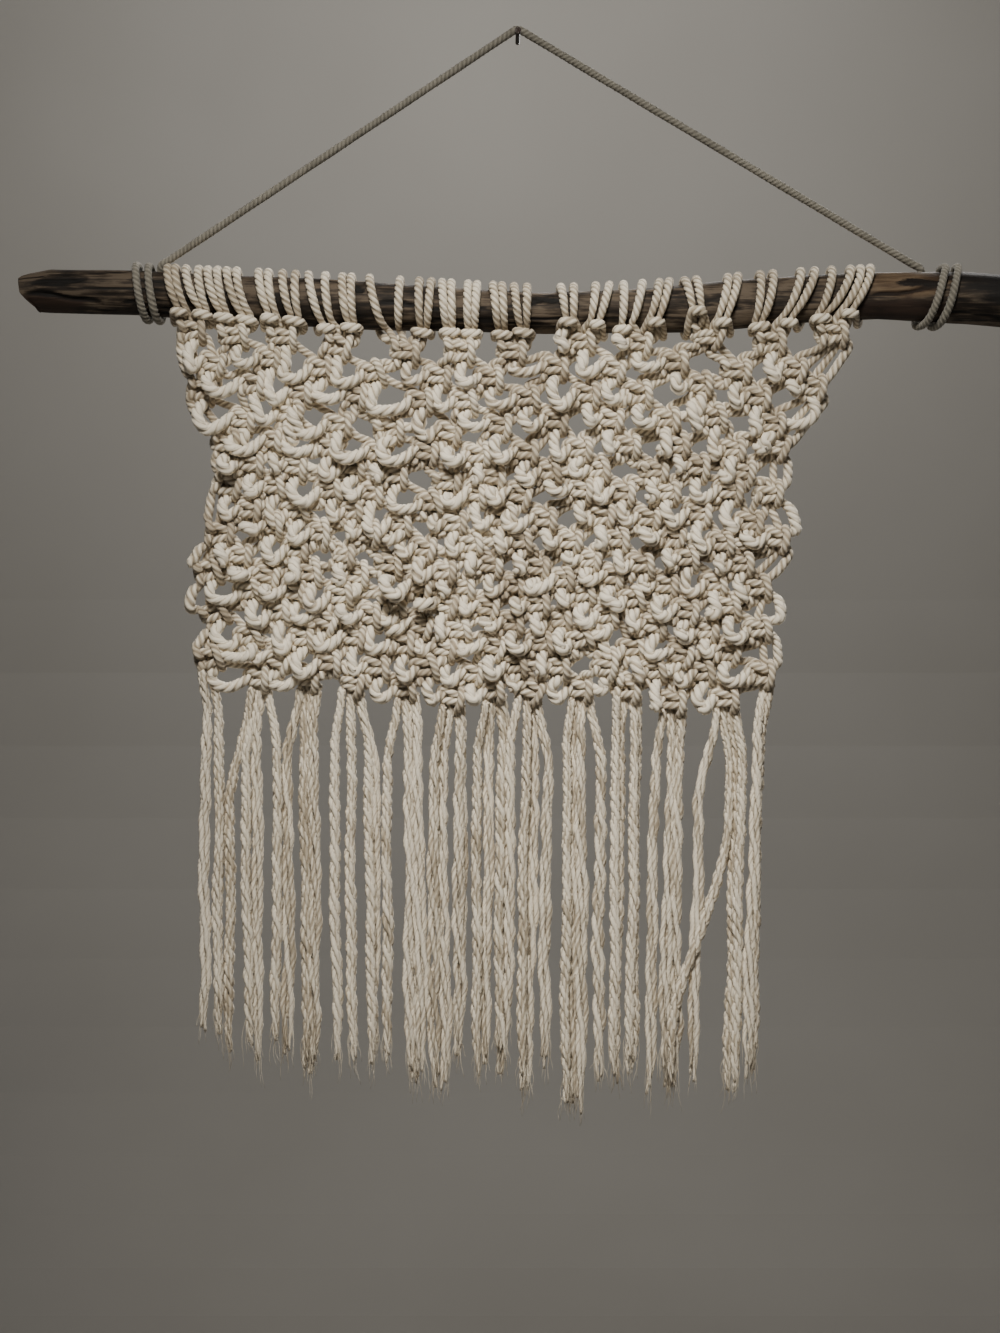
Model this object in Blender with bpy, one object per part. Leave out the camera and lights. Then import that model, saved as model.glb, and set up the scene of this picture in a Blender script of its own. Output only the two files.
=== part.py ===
"""Macrame wall hanging on a driftwood stick, with its hanger cord and nail.

Metres, +Z up, +X to the viewer's right, and the front faces -Y. The wall is the plane y = 0,
and the origin is where the nail enters it. Tables are in millimetres and are scaled by MM.
"""

import math

import bmesh
import bpy
from mathutils import Vector
from mathutils.geometry import delaunay_2d_cdt

MM = 0.001

GAP = 0.35 * MM

# The nail
NAIL_LENGTH = 24.0 * MM
NAIL_SHANK_RADIUS = 1.3 * MM
NAIL_HEAD_RADIUS = 1.9 * MM
NAIL_HEAD_LENGTH = 1.6 * MM
NAIL_SIDES = 16

# The driftwood stick: its middle line and its radius, from the left end to the right
STICK_Y = -20.0 * MM
STICK_SECTIONS = (  # x, z, radius
    (-288.0, -151.5, 6.0),
    (-283.0, -150.5, 10.2),
    (-270.0, -149.5, 11.9),
    (-220.0, -150.5, 12.1),
    (-160.0, -154.5, 12.8),
    (-97.0, -158.3, 13.4),
    (16.0, -162.3, 12.5),
    (105.0, -159.4, 13.9),
    (160.0, -155.0, 13.2),
    (208.0, -152.9, 12.8),
    (258.0, -153.9, 14.2),
    (290.0, -156.6, 14.2),
    (311.0, -157.6, 11.6),
    (317.0, -158.0, 7.0),
)
STICK_RING_STEP = 14.0 * MM
STICK_SIDES = 18
STICK_OVAL = 0.05
STICK_RIDGE = 0.03

# The lark's head knots: where the two strands cross the top of the stick, and the bar's middle
LARKS_HEADS = (  # strand_left, strand_right, bar_x, bar_z
    (-201.8, -197.8, -192.6, -164.5),
    (-191.5, -184.0, -180.6, -166.2),
    (-178.8, -173.1, -168.5, -167.9),
    (-167.9, -162.2, -155.8, -170.2),
    (-149.5, -143.8, -140.9, -167.9),
    (-135.7, -128.2, -128.2, -170.2),
    (-120.8, -111.0, -109.3, -174.2),
    (-101.2, -96.0, -96.0, -173.7),
    (-85.7, -67.9, -72.0, -178.3),
    (-56.9, -50.0, -54.6, -176.5),
    (-43.7, -38.5, -38.7, -177.7),
    (-28.8, -23.6, -27.6, -178.3),
    (-14.4, -9.2, -8.6, -177.7),
    (-2.3, 5.2, 2.9, -176.5),
    (24.7, 32.2, 29.3, -170.2),
    (44.9, 52.9, 43.7, -171.4),
    (61.0, 71.9, 61.5, -175.4),
    (81.7, 87.4, 77.6, -170.2),
    (96.0, 102.9, 102.4, -164.5),
    (121.3, 127.1, 116.2, -169.6),
    (139.7, 147.2, 138.0, -172.5),
    (163.3, 171.4, 154.1, -169.6),
    (181.1, 192.1, 173.7, -169.1),
    (197.8, 203.6, 188.6, -165.0),
)
HEAD_THICKNESS = 4.6 * MM
HEAD_BAR_HALF_WIDTH = 5.2 * MM
HEAD_STRAND_HALF_WIDTH = 2.3 * MM
HEAD_CORNER = 1.4 * MM
HEAD_STATIONS = 14
HEAD_BAR_HALF_ANGLE = math.radians(17.0)
HEAD_STATION_ANGLE = (math.tau - 2.0 * HEAD_BAR_HALF_ANGLE) / (HEAD_STATIONS - 3)
HEAD_BAR_LIMIT = 0.94

# The knotted panel: its two sides, its lower edge, and its rows of square knots
PANEL_TOP_Y = -27.0 * MM
PANEL_BOTTOM_Y = -23.0 * MM
PANEL_HALF_THICKNESS = 4.0 * MM
PANEL_SIDES = (  # z, left, right
    (-168.0, -198.0, 193.5),
    (-182.0, -195.5, 188.0),
    (-214.0, -186.0, 174.0),
    (-237.0, -183.0, 165.0),
    (-271.0, -182.0, 160.0),
    (-286.0, -183.0, 162.0),
    (-317.0, -188.0, 153.0),
    (-340.0, -186.0, 149.0),
    (-362.0, -182.0, 150.0),
)
PANEL_LOWER_EDGE = (  # x, z
    (-181.0, -376.0),
    (-140.0, -378.0),
    (-100.0, -380.0),
    (-60.0, -386.0),
    (-10.0, -387.0),
    (20.0, -384.0),
    (47.0, -386.0),
    (100.0, -388.0),
    (133.0, -389.0),
    (147.0, -386.0),
)
KNOT_ROWS_Z = (
    -185, -199, -214, -230, -245, -257, -270, -284, -296, -307, -319, -330, -342, -355, -367, -379,
)
KNOTS_IN_LONG_ROW = 12
KNOT_PAD_HALF_WIDTH = 5.4 * MM
KNOT_PAD_HALF_HEIGHT = 3.6 * MM
KNOT_PAD_RISE = 2.2 * MM
KNOT_PAD_MARGIN = 2.0 * MM
OPEN_ROWS = (1, 2, 3)
OPENING_HALF_WIDTH = 5.2 * MM
OPENING_HALF_HEIGHT = 6.4 * MM
OPENING_FLAT = 2.7 * MM

# The fringe: one tooth for each hank of loose strands
FRINGE_BOTTOM_Y = -21.0 * MM
FRINGE_HALF_THICKNESS = 3.2 * MM
FRINGE_SPINE_HEIGHT = 7.0 * MM
FRINGE_SWAY = 0.9 * MM
FRINGE_LEVELS = 5
FRINGE_TIP_SHARE = 0.35
FRINGE_TEETH = (  # top_x, tip_x, width, tip_z
    (-179.5, -183.0, 5.5, -586.0),
    (-170.0, -169.5, 9.0, -590.0),
    (-154.5, -152.5, 10.5, -591.0),
    (-136.0, -136.0, 10.5, -585.0),
    (-121.0, -119.5, 10.0, -599.0),
    (-101.0, -100.0, 12.0, -597.0),
    (-84.5, -83.5, 6.0, -594.0),
    (-74.5, -76.0, 6.5, -596.0),
    (-60.5, -58.5, 10.5, -609.0),
    (-46.5, -45.5, 9.0, -608.0),
    (-32.5, -34.5, 4.8, -594.0),
    (-20.0, -21.5, 11.0, -601.0),
    (-5.5, -9.5, 8.5, -598.0),
    (7.5, 3.0, 9.0, -606.0),
    (18.5, 14.0, 6.5, -598.0),
    (32.0, 32.0, 12.5, -623.0),
    (48.0, 46.0, 7.5, -610.0),
    (58.5, 56.0, 6.5, -607.0),
    (68.5, 65.0, 5.5, -601.0),
    (80.0, 75.0, 6.5, -613.0),
    (91.0, 87.0, 10.0, -608.0),
    (104.0, 101.0, 6.0, -600.0),
    (127.0, 121.0, 11.0, -618.0),
    (139.5, 133.5, 6.5, -600.0),
)

# The hanger cord: two turns round the stick at each end, and a straight leg up to the nail
HANGER_RADIUS = 2.35 * MM
HANGER_Y_ON_NAIL = -12.0 * MM
HANGER_LEFT_TURNS = (-207.6, -207.0, -212.8, -213.6, -220.0, -219.4)
HANGER_RIGHT_TURNS = (234.6, 231.7, 246.2, 240.3, 253.4, 253.8)
HANGER_TURN_ANGLES = (150.0, 250.0, 430.0, 610.0, 790.0, 870.0)
HANGER_TURN_STEP = 28.0
HANGER_CLEARANCE = 0.4 * MM
HANGER_LEAD_BACK = 8.0 * MM
HANGER_LEAD_UP = 18.0 * MM
HANGER_SADDLE_STEPS = 5


def clear_scene():
    """Remove every object that the file starts with."""
    for thing in list(bpy.data.objects):
        bpy.data.objects.remove(thing, do_unlink=True)


def principled(name, colour, roughness, metallic=0.0):
    """A plain material with the part's colour, roughness and metallic value."""
    material = bpy.data.materials.new(name)
    material.use_nodes = True
    shader = material.node_tree.nodes["Principled BSDF"]
    shader.inputs["Base Color"].default_value = (*colour, 1.0)
    shader.inputs["Roughness"].default_value = roughness
    shader.inputs["Metallic"].default_value = metallic
    material.diffuse_color = (*colour, 1.0)
    return material


def add_mesh(name, bm, material, smooth):
    """Turn a bmesh into a named object with outward faces."""
    bmesh.ops.recalc_face_normals(bm, faces=bm.faces)
    for face in bm.faces:
        face.smooth = smooth
    mesh = bpy.data.meshes.new(name)
    bm.to_mesh(mesh)
    bm.free()
    mesh.materials.append(material)
    thing = bpy.data.objects.new(name, mesh)
    bpy.context.collection.objects.link(thing)
    return thing


def blend(start, end, share):
    """The value a share of the way from start to end."""
    return start + (end - start) * share


def lookup(table, key, column):
    """The value in a column of a millimetre table, in metres, eased between its rows by key."""
    value = key / MM
    rows = sorted(table)
    if value <= rows[0][0]:
        return rows[0][column] * MM
    if value >= rows[-1][0]:
        return rows[-1][column] * MM
    for low, high in zip(rows, rows[1:]):
        if low[0] <= value <= high[0]:
            return blend(low[column], high[column], (value - low[0]) / (high[0] - low[0])) * MM
    return rows[-1][column] * MM


def stick_z(x):
    return lookup(STICK_SECTIONS, x, 1)


def stick_radius(x, angle):
    """The stick's uneven radius at x, in the direction of an angle up from its front."""
    oval = STICK_OVAL * math.cos(2.0 * angle + x / (70.0 * MM))
    ridge = STICK_RIDGE * math.cos(3.0 * angle - x / (45.0 * MM))
    return lookup(STICK_SECTIONS, x, 2) * (1.0 + oval + ridge)


def around_stick(x, angle, distance):
    """A point beside the stick: the angle is 0 at its front and 90 degrees at its top."""
    y = STICK_Y - math.cos(angle) * distance
    return Vector((x, y, stick_z(x) + math.sin(angle) * distance))


def clear_radius(x, half_width, angle, step):
    """The radius that keeps a band of straight steps off the stick under all of its width."""
    places = [(x + half_width * across, angle + step * along)
              for across in (-1.0, -0.5, 0.0, 0.5, 1.0) for along in (-0.5, 0.0, 0.5)]
    return max(stick_radius(*place) for place in places) / math.cos(step / 2.0)


def build_nail(material):
    """A plain round nail with a small head, straight out of the wall."""
    profile = (
        (0.0, NAIL_SHANK_RADIUS),
        (NAIL_LENGTH - NAIL_HEAD_LENGTH, NAIL_SHANK_RADIUS),
        (NAIL_LENGTH - NAIL_HEAD_LENGTH, NAIL_HEAD_RADIUS),
        (NAIL_LENGTH, NAIL_HEAD_RADIUS),
    )
    bm = bmesh.new()
    rings = []
    for out, radius in profile:
        ring = []
        for side in range(NAIL_SIDES):
            angle = math.tau * side / NAIL_SIDES
            ring.append(bm.verts.new((math.cos(angle) * radius, -out, math.sin(angle) * radius)))
        rings.append(ring)
    skin_rings(bm, rings, closed=False)
    add_mesh("nail", bm, material, smooth=False)


def skin_rings(bm, rings, closed):
    """Join rings of vertices with quads, and close or cap the two ends."""
    count = len(rings[0])
    pairs = list(zip(rings, rings[1:]))
    if closed:
        pairs.append((rings[-1], rings[0]))
    for first, second in pairs:
        for side in range(count):
            after = (side + 1) % count
            bm.faces.new((first[side], first[after], second[after], second[side]))
    if not closed:
        bm.faces.new(rings[0])
        bm.faces.new(rings[-1])


def build_stick(material):
    """The bowed, uneven stick, lofted through rings from its left end to its right."""
    places = []
    for (x1, _, _), (x2, _, _) in zip(STICK_SECTIONS, STICK_SECTIONS[1:]):
        steps = math.ceil((x2 - x1) * MM / STICK_RING_STEP)
        places += [blend(x1, x2, step / steps) * MM for step in range(steps)]
    places.append(STICK_SECTIONS[-1][0] * MM)
    bm = bmesh.new()
    rings = []
    for x in places:
        angles = [math.tau * side / STICK_SIDES for side in range(STICK_SIDES)]
        rings.append([bm.verts.new(around_stick(x, a, stick_radius(x, a))) for a in angles])
    skin_rings(bm, rings, closed=False)
    add_mesh("driftwood_stick", bm, material, smooth=True)


def head_angles(bar_angle):
    """Angles round the stick that put four stations on the bar and the rest evenly."""
    bar = [bar_angle + HEAD_BAR_HALF_ANGLE * share for share in (-1.0, -0.55, 0.55, 1.0)]
    rest = HEAD_STATIONS - len(bar)
    return bar + [bar[-1] + HEAD_STATION_ANGLE * (n + 1) for n in range(rest)]


def build_larks_head(number, row, material):
    """One lark's head: a band of two strands round the stick, with its bar at the front."""
    left, right, bar_x, bar_z = (value * MM for value in row)
    top_x = (left + right) / 2.0
    drop = bar_z - stick_z(bar_x)
    reach = lookup(STICK_SECTIONS, bar_x, 2) + 1.5 * HEAD_THICKNESS
    bar_angle = math.asin(max(drop / reach, -HEAD_BAR_LIMIT))
    top_angle = math.radians(90.0)
    bm = bmesh.new()
    rings = []
    for index, angle in enumerate(head_angles(bar_angle)):
        turned = (angle - bar_angle) % math.tau
        rise = top_angle - bar_angle
        share = turned / rise if turned <= rise else (math.tau - turned) / (math.tau - rise)
        x = blend(bar_x, top_x, share)
        half = blend(HEAD_BAR_HALF_WIDTH, (right - left) / 2.0 + HEAD_STRAND_HALF_WIDTH, share)
        inner = clear_radius(x, half, angle, HEAD_STATION_ANGLE) + GAP
        outer = inner + HEAD_THICKNESS * (2.0 if index in (1, 2) else 1.0)
        section = (
            (-half, inner),
            (half, inner),
            (half, outer - HEAD_CORNER),
            (half - HEAD_CORNER, outer),
            (HEAD_CORNER - half, outer),
            (-half, outer - HEAD_CORNER),
        )
        rings.append([bm.verts.new(around_stick(x + dx, angle, out)) for dx, out in section])
    skin_rings(bm, rings, closed=True)
    add_mesh(f"larks_head_{number:02d}", bm, material, smooth=False)


def inside(point, outline):
    """Whether a point lies inside a closed outline."""
    x, z = point
    found = False
    for (x1, z1), (x2, z2) in zip(outline, outline[1:] + outline[:1]):
        if (z1 > z) != (z2 > z) and x < x1 + (z - z1) * (x2 - x1) / (z2 - z1):
            found = not found
    return found


def build_plate(name, outline, holes, pads, middle_y, half_thickness, material):
    """A plate standing in the XZ plane: an outline, through holes, and raised pads in front."""
    points = []
    edges = []
    for loop in [outline, *holes]:
        first = len(points)
        count = len(loop)
        points += [Vector(point) for point in loop]
        edges += [(first + n, first + (n + 1) % count) for n in range(count)]
    raised_from = len(points)
    for pad in pads:
        points += [Vector(point) for point in pad]
    found = delaunay_2d_cdt(points, edges, [], 1, 1e-7)
    coords, triangles, origins = found[0], found[2], found[3]
    kept = []
    for triangle in triangles:
        centre = sum((coords[n] for n in triangle), Vector((0.0, 0.0))) / 3.0
        if inside(centre, outline) and not any(inside(centre, hole) for hole in holes):
            kept.append(triangle)
    used = sorted({n for triangle in kept for n in triangle})
    bm = bmesh.new()
    front = {}
    back = {}
    for n in used:
        x, z = coords[n]
        raised = any(origin >= raised_from for origin in origins[n])
        rise = KNOT_PAD_RISE if raised else 0.0
        front[n] = bm.verts.new((x, middle_y(z) - half_thickness - rise, z))
        back[n] = bm.verts.new((x, middle_y(z) + half_thickness, z))
    sides = {}
    for triangle in kept:
        bm.faces.new([front[n] for n in triangle])
        bm.faces.new([back[n] for n in reversed(triangle)])
        for a, b in zip(triangle, triangle[1:] + triangle[:1]):
            sides[frozenset((a, b))] = sides.get(frozenset((a, b)), 0) + 1
    for (a, b), times in ((tuple(side), times) for side, times in sides.items()):
        if times == 1:
            bm.faces.new((front[a], front[b], back[b], back[a]))
    add_mesh(name, bm, material, smooth=False)


def panel_y(z):
    """The panel's middle plane, which leans a little back to the wall on its way down."""
    top = PANEL_SIDES[0][0] * MM
    bottom = KNOT_ROWS_Z[-1] * MM
    return blend(PANEL_TOP_Y, PANEL_BOTTOM_Y, (top - z) / (top - bottom))


def heading_edge_z(x):
    """The panel's upper edge, just below the lark's heads."""
    return stick_z(x) - lookup(STICK_SECTIONS, x, 2) - 2.0 * HEAD_THICKNESS - 2.0 * GAP


def panel_outline():
    """Down the right side, back along the lower edge, up the left side and along the top."""
    right = [(row[2] * MM, row[0] * MM) for row in PANEL_SIDES[1:]]
    left = [(row[1] * MM, row[0] * MM) for row in reversed(PANEL_SIDES[1:])]
    lower = [(x * MM, z * MM) for x, z in reversed(PANEL_LOWER_EDGE)]
    count = KNOTS_IN_LONG_ROW * 2
    start = PANEL_SIDES[0][1] * MM
    end = PANEL_SIDES[0][2] * MM
    upper = []
    for n in range(count + 1):
        x = blend(start, end, n / count)
        upper.append((x, heading_edge_z(x)))
    return right + lower + left + upper


def knot_places(row):
    """The middles of one row's square knots: 12 in a long row, 11 between them in a short one."""
    z = KNOT_ROWS_Z[row] * MM
    left = lookup(PANEL_SIDES, z, 1)
    right = lookup(PANEL_SIDES, z, 2)
    pitch = (right - left) / KNOTS_IN_LONG_ROW
    shift = 0.5 if row % 2 == 0 else 1.0
    count = KNOTS_IN_LONG_ROW if row % 2 == 0 else KNOTS_IN_LONG_ROW - 1
    return [(left + pitch * (n + shift), z) for n in range(count)]


def rectangle(centre, half_width, half_height):
    x, z = centre
    corners = ((-1, -1), (1, -1), (1, 1), (-1, 1))
    return [(x + sx * half_width, z + sz * half_height) for sx, sz in corners]


def net_opening(centre):
    """A six-sided gap of the net, flat at the sides and pointed up and down."""
    x, z = centre
    side = OPENING_HALF_WIDTH
    peak = OPENING_HALF_HEIGHT
    corners = ((side, -OPENING_FLAT), (side, OPENING_FLAT), (0.0, peak))
    return [(x + dx, z + dz) for dx, dz in corners] + [(x - dx, z - dz) for dx, dz in corners]


def far_from(pad, loops):
    """Whether each corner of a pad is clear of all the points and sides of the loops."""
    for x, z in pad:
        for loop in loops:
            for (x1, z1), (x2, z2) in zip(loop, loop[1:] + loop[:1]):
                span = Vector((x2 - x1, z2 - z1))
                away = Vector((x - x1, z - z1))
                share = min(1.0, max(0.0, away.dot(span) / span.length_squared))
                if (away - span * share).length < KNOT_PAD_MARGIN:
                    return False
    return True


def build_panel(material):
    """The net of alternating square knots, with its largest gaps open."""
    outline = panel_outline()
    holes = []
    for row in OPEN_ROWS:
        places = knot_places(row)
        for (x1, z), (x2, _) in zip(places, places[1:]):
            holes.append(net_opening(((x1 + x2) / 2.0, z)))
    pads = []
    for row in range(len(KNOT_ROWS_Z)):
        for place in knot_places(row):
            pad = rectangle(place, KNOT_PAD_HALF_WIDTH, KNOT_PAD_HALF_HEIGHT)
            if all(inside(corner, outline) for corner in pad) and far_from(pad, [outline, *holes]):
                pads.append(pad)
    build_plate("knotted_panel", outline, holes, pads, panel_y, PANEL_HALF_THICKNESS, material)


def fringe_top_z(x):
    return lookup(PANEL_LOWER_EDGE, x, 1) - GAP


def fringe_y(z):
    """The fringe's middle plane, on from the panel's and a little nearer the wall."""
    top = PANEL_LOWER_EDGE[0][1] * MM
    bottom = min(row[3] for row in FRINGE_TEETH) * MM
    share = min(1.0, max(0.0, (top - z) / (top - bottom)))
    return blend(PANEL_BOTTOM_Y, FRINGE_BOTTOM_Y, share)


def fringe_tooth(number, row):
    """One tooth's outline, down its left side and back up its right, swaying as it hangs."""
    top_x, tip_x, width, tip_z = (value * MM for value in row)
    top_z = fringe_top_z(top_x) - FRINGE_SPINE_HEIGHT
    left = []
    right = []
    for level in range(FRINGE_LEVELS + 1):
        share = level / FRINGE_LEVELS
        sway = FRINGE_SWAY * math.sin(2.1 * level + 1.7 * number) if level else 0.0
        taper = FRINGE_TIP_SHARE if level == FRINGE_LEVELS else 1.0 - 0.12 * share
        x = blend(top_x, tip_x, share) + sway
        z = blend(top_z, tip_z, share)
        left.append((x - width * taper / 2.0, z))
        right.append((x + width * taper / 2.0, z))
    return left + right[::-1]


def build_fringe(material):
    """The comb of loose strands that hangs from the panel's lower edge."""
    first = PANEL_LOWER_EDGE[0][0] * MM
    last = PANEL_LOWER_EDGE[-1][0] * MM
    outline = []
    for number, row in enumerate(FRINGE_TEETH):
        outline += fringe_tooth(number, row)
    edge = [(last, fringe_top_z(last) - FRINGE_SPINE_HEIGHT), (last, fringe_top_z(last))]
    edge += [(x * MM, fringe_top_z(x * MM)) for x, _ in reversed(PANEL_LOWER_EDGE[1:-1])]
    edge += [(first, fringe_top_z(first)), (first, fringe_top_z(first) - FRINGE_SPINE_HEIGHT)]
    whole = outline + edge
    build_plate("fringe", whole, [], [], fringe_y, FRINGE_HALF_THICKNESS, material)


def hanger_turns(places):
    """Two turns round the stick, from the leg above its back to the tail end."""
    x = places[0] * MM
    route = [Vector((x, STICK_Y + HANGER_LEAD_BACK, stick_z(x) + HANGER_LEAD_UP))]
    stages = list(zip(places, HANGER_TURN_ANGLES))
    for (x1, start), (x2, end) in zip(stages, stages[1:]):
        steps = max(1, round(abs(end - start) / HANGER_TURN_STEP))
        for step in range(steps):
            x = blend(x1, x2, step / steps) * MM
            angle = math.radians(blend(start, end, step / steps))
            radius = clear_radius(x, HANGER_RADIUS, angle, math.radians(HANGER_TURN_STEP))
            route.append(around_stick(x, angle, radius + HANGER_RADIUS + HANGER_CLEARANCE))
    return route


def hanger_saddle():
    """The short arc of the cord over the nail."""
    radius = NAIL_SHANK_RADIUS + HANGER_RADIUS + GAP
    arc = []
    for step in range(HANGER_SADDLE_STEPS):
        angle = math.radians(blend(120.0, 60.0, step / (HANGER_SADDLE_STEPS - 1)))
        arc.append(Vector((math.cos(angle) * radius, HANGER_Y_ON_NAIL, math.sin(angle) * radius)))
    return arc


def build_hanger(material):
    """The hanger cord, whole: left turns, left leg, over the nail, right leg, right turns."""
    route = hanger_turns(HANGER_LEFT_TURNS)[::-1] + hanger_saddle()
    route += hanger_turns(HANGER_RIGHT_TURNS)
    curve = bpy.data.curves.new("hanger_cord", "CURVE")
    curve.dimensions = "3D"
    curve.bevel_depth = HANGER_RADIUS
    curve.bevel_resolution = 2
    curve.use_fill_caps = True
    spline = curve.splines.new("POLY")
    spline.points.add(len(route) - 1)
    for point, place in zip(spline.points, route):
        point.co = (*place, 1.0)
    curve.materials.append(material)
    thing = bpy.data.objects.new("hanger_cord", curve)
    bpy.context.collection.objects.link(thing)


def main():
    clear_scene()
    cotton = principled("cotton_cord", (0.72, 0.66, 0.55), 0.9)
    hanger_cotton = principled("hanger_cotton", (0.46, 0.43, 0.38), 0.9)
    driftwood = principled("driftwood", (0.16, 0.10, 0.065), 0.8)
    steel = principled("nail_steel", (0.10, 0.08, 0.07), 0.5, metallic=1.0)
    build_nail(steel)
    build_stick(driftwood)
    for number, row in enumerate(LARKS_HEADS, start=1):
        build_larks_head(number, row, cotton)
    build_panel(cotton)
    build_fringe(cotton)
    build_hanger(hanger_cotton)


main()
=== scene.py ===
"""The looks of the macrame wall hanging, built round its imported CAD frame.

Lengths in the tables and in the cord routes are millimetres in the row's frame: +X right, +Z up, the
front faces -Y and the wall is y = 0. They become metres when a mesh is made. A route's fourth column
is the cord's looseness: below 0 it is pulled tight and thinner, and towards 1 it is slack and fatter.
"""

import math

import bpy
import numpy as np
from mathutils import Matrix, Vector, kdtree
from mathutils.noise import noise as mathutils_noise


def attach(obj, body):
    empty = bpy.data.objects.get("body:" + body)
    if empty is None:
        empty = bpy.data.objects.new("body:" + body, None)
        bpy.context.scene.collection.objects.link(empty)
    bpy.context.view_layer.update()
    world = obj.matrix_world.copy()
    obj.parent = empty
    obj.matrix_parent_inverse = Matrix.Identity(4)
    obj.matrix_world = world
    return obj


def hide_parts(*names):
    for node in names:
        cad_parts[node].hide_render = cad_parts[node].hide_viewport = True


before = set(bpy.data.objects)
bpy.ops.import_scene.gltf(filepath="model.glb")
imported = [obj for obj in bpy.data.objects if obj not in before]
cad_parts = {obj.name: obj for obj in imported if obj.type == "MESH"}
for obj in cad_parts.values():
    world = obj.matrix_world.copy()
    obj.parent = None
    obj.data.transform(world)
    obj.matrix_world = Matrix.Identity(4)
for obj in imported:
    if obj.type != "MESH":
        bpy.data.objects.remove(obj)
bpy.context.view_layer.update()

MM = 0.001
RANDOM = np.random.default_rng(20)
uniform = RANDOM.uniform
normal = RANDOM.normal

# The stick, as in the CAD part
STICK_Y = -20.0
STICK_SECTIONS = np.array((  # x, z, radius
    (-288.0, -151.5, 6.0),
    (-283.0, -150.5, 10.2),
    (-270.0, -149.5, 11.9),
    (-220.0, -150.5, 12.1),
    (-160.0, -154.5, 12.8),
    (-97.0, -158.3, 13.4),
    (16.0, -162.3, 12.5),
    (105.0, -159.4, 13.9),
    (160.0, -155.0, 13.2),
    (208.0, -152.9, 12.8),
    (258.0, -153.9, 14.2),
    (290.0, -156.6, 14.2),
    (311.0, -157.6, 11.6),
    (317.0, -158.0, 7.0),
))
STICK_OVAL = 0.05
STICK_RIDGE = 0.03
STICK_STEP = 1.7
STICK_AROUND = 72
END_RINGS = (0.1, 0.45, 0.8)
END_JAG = 2.2
BROKEN_END_RADIUS = 10.4
BROKEN_END = np.array((  # sine of the angle up from the front, x
    (-1.0, -275.5),
    (-0.9, -276.8),
    (-0.1, -285.4),
    (0.75, -287.4),
    (1.0, -282.5),
))
CRACK_DEPTH = 0.95
CRACK_WIDTH = 1.6
STICK_CRACKS = (  # start_x, end_x, start_z, end_z
    (200.0, 243.0, -155.0, -150.0),
    (-284.0, -238.0, -152.0, -158.0),
    (-280.0, -246.0, -147.0, -145.0),
    (-96.0, -88.0, -152.0, -152.5),
    (-80.0, -58.0, -158.0, -160.5),
    (8.0, 24.0, -156.0, -157.5),
)

# The lark's heads: where the two strands cross the top of the stick, and the bar's middle
LARKS_HEADS = np.array((  # strand_left, strand_right, bar_x, bar_z
    (-201.8, -197.8, -192.6, -164.5),
    (-191.5, -184.0, -180.6, -166.2),
    (-178.8, -173.1, -168.5, -167.9),
    (-167.9, -162.2, -155.8, -170.2),
    (-149.5, -143.8, -140.9, -167.9),
    (-135.7, -128.2, -128.2, -170.2),
    (-120.8, -111.0, -109.3, -174.2),
    (-101.2, -96.0, -96.0, -173.7),
    (-85.7, -67.9, -72.0, -178.3),
    (-56.9, -50.0, -54.6, -176.5),
    (-43.7, -38.5, -38.7, -177.7),
    (-28.8, -23.6, -27.6, -178.3),
    (-14.4, -9.2, -8.6, -177.7),
    (-2.3, 5.2, 2.9, -176.5),
    (24.7, 32.2, 29.3, -170.2),
    (44.9, 52.9, 43.7, -171.4),
    (61.0, 71.9, 61.5, -175.4),
    (81.7, 87.4, 77.6, -170.2),
    (96.0, 102.9, 102.4, -164.5),
    (121.3, 127.1, 116.2, -169.6),
    (139.7, 147.2, 138.0, -172.5),
    (163.3, 171.4, 154.1, -169.6),
    (181.1, 192.1, 173.7, -169.1),
    (197.8, 203.6, 188.6, -165.0),
))
HEAD_BAR_LIMIT = 0.94
BAR_ANGLE_REACH = 7.0  # from the bark to the bar, as its angle is worked out and as it is laid
BAR_REACH = 7.4

# The net: its sides, its last row, and how far down each row of knots is
PANEL_SIDES = np.array((  # z, left, right
    (-168.0, -198.0, 193.5),
    (-182.0, -195.5, 188.0),
    (-214.0, -186.0, 174.0),
    (-237.0, -183.0, 165.0),
    (-271.0, -182.0, 160.0),
    (-286.0, -183.0, 162.0),
    (-317.0, -188.0, 153.0),
    (-340.0, -186.0, 149.0),
    (-362.0, -182.0, 150.0),
    (-390.0, -181.0, 147.0),
))
LAST_ROW = np.array((  # x, z of each of its knots
    (-149.5, -374.3),
    (-122.5, -375.5),
    (-94.5, -375.5),
    (-65.0, -381.0),
    (-40.0, -382.5),
    (-15.0, -381.5),
    (9.2, -380.0),
    (35.7, -379.0),
    (64.4, -379.0),
    (92.0, -388.0),
    (119.0, -384.0),
))
LAST_EDGES = (-175.0, 141.0)
ROW_DROPS = np.array((0, 14, 29, 45, 60, 72, 85, 99, 111, 122, 134, 145, 157, 170, 182, 195))
ROWS = len(ROW_DROPS)
LONG_ROW = 12
FIRST_ROW_Z = -185.0
BARS_TO_FIRST_ROW = 9.0
NET_Z_TOP = -168.0
NET_LENGTH = 211.0
NET_Y_TOP = -27.0
NET_Y_BOTTOM = -23.0

# How the knots stray from an even net; rows are counted from 0 at the top
HUNG_ROWS = 4.0
UNTIDY_ROWS = (5.0, 8.0)  # first, how many more until it is full
PULLED_ROWS = (10.0, 5.0)
KNOT_SIZES = (0.87, 0.99)
FIRST_ROW_SPREAD = 0.5
KNOT_SPREAD = 1.8
KNOT_SPREAD_Y = 0.9
KNOT_TURN = 6.0
UNTIDY_TURN = 8.0

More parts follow.
